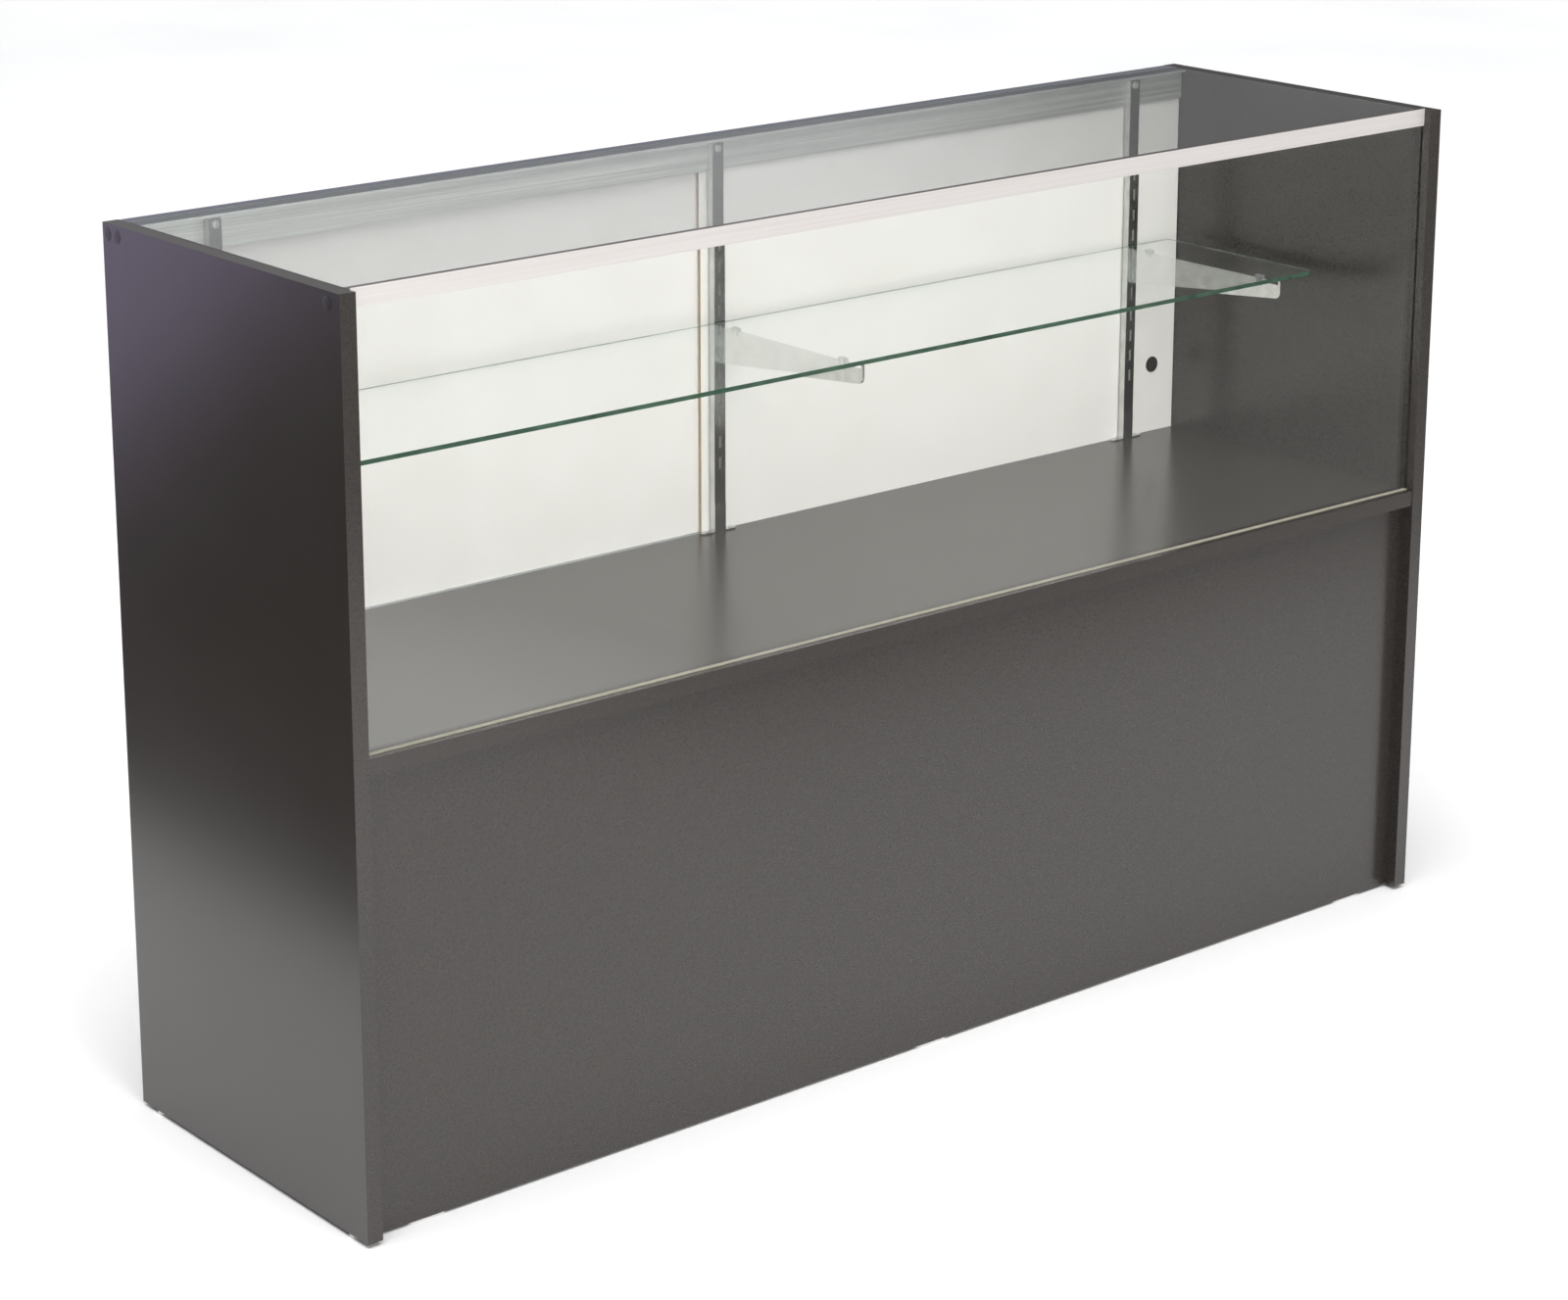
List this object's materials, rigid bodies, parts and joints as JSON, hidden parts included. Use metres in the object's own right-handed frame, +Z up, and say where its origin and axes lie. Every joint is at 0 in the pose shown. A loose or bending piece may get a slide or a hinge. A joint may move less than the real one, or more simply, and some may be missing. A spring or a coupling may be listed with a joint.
{
  "type": "display counter",
  "caption": "Floor-standing retail display counter: black laminate carcass, glass front and top, one glass shelf on slotted standards, sliding rear doors and open storage below.",
  "frame": {"origin": "on the floor under the middle of the counter", "axes": "+X along the counter's length to the right seen from the customer's side, -Y towards the customer (glass front), +Y towards the sliding doors, +Z up"},
  "size_m": [1.524, 0.4318, 0.9672],
  "materials": {
    "black_laminate": "satin laminate",
    "clear_glass": "polished",
    "silver_extrusion": "satin",
    "brushed_extrusion": "brushed",
    "bright_steel": "polished",
    "white_hardboard": "semi-gloss",
    "cup_plastic": "satin",
    "cream_vinyl": "semi-gloss",
    "clear_rubber": "satin",
    "cap_plastic": "satin",
    "white_nylon": "satin",
    "screw_steel": "satin",
    "cam_alloy": "satin",
    "beech": "matte"
  },
  "bodies": {
    "cabinet": {"side_panel_left": "black_laminate", "side_panel_right": "black_laminate", "deck_panel": "black_laminate", "lower_front_panel": "black_laminate", "storage_floor": "black_laminate", "storage_divider": "black_laminate", "rear_kick_rail": "black_laminate", "side_glides_left": "white_nylon", "side_glides_right": "white_nylon", "front_panel_glides": "white_nylon", "front_glass": "clear_glass", "top_glass": "clear_glass", "glazing_channel": "cream_vinyl", "front_top_rail": "silver_extrusion", "front_rail_end_left": "silver_extrusion", "front_rail_end_right": "silver_extrusion", "rear_top_rail": "brushed_extrusion", "lower_door_track": "brushed_extrusion", "standard_left": "bright_steel", "standard_centre": "bright_steel", "standard_right": "bright_steel", "standard_foot_left": "bright_steel", "standard_foot_centre": "bright_steel", "standard_foot_right": "bright_steel", "shelf_bracket_left": "bright_steel", "shelf_bracket_centre": "bright_steel", "shelf_bracket_right": "bright_steel", "glass_shelf": "clear_glass", "shelf_rests_left": "clear_rubber", "shelf_rests_centre": "clear_rubber", "shelf_rests_right": "clear_rubber", "rail_screws_left": "screw_steel", "rail_screws_right": "screw_steel", "screw_caps_left": "cap_plastic", "screw_caps_right": "cap_plastic", "standard_screws": "screw_steel", "foot_screws": "screw_steel", "cam_locks": "cam_alloy", "cam_bolts": "screw_steel", "wood_dowels": "beech"},
    "right_door": {"sliding_door_right": "white_hardboard", "finger_cup_right": "cup_plastic"},
    "left_door": {"sliding_door_left": "white_hardboard", "finger_cup_left": "cup_plastic"}
  },
  "joints": [
    {"name": "right_door_slide", "type": "slide", "parent": "cabinet", "child": "right_door", "axis": [1, 0, 0], "range_m": [-0.724, 0]},
    {"name": "left_door_slide", "type": "slide", "parent": "cabinet", "child": "left_door", "axis": [1, 0, 0], "range_m": [0, 0.724]}
  ]
}
